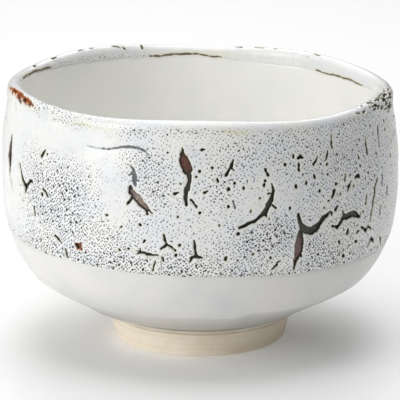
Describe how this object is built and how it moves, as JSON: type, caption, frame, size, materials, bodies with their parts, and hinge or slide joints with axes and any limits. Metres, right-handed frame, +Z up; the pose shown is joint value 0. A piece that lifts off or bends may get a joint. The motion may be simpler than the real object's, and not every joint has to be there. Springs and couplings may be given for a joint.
{
  "type": "matcha bowl",
  "caption": "Round hand-made tea bowl with a speckled, crawled white glaze band over a satin white belly, on a bare clay foot ring.",
  "frame": {"origin": "on the turning axis, on the plane that the foot ring rests on", "axes": "+Z up along the bowl's turning axis; -Y is the front, the side shown in the picture; +X is to its right"},
  "size_m": [0.122, 0.122, 0.0815],
  "materials": {
    "stoneware_clay": "matte",
    "bare_foot_clay": "matte",
    "luting_slip": "matte",
    "iron_brown_slip": "satin",
    "crawled_white": "gloss",
    "satin_white": "satin",
    "liner_white": "gloss"
  },
  "bodies": {
    "root": {"clay_body": "stoneware_clay", "foot_ring": "bare_foot_clay", "luting_bead": "luting_slip", "iron_slip": "iron_brown_slip", "crawled_glaze": "crawled_white", "belly_glaze": "satin_white", "liner_glaze": "liner_white"}
  },
  "joints": []
}
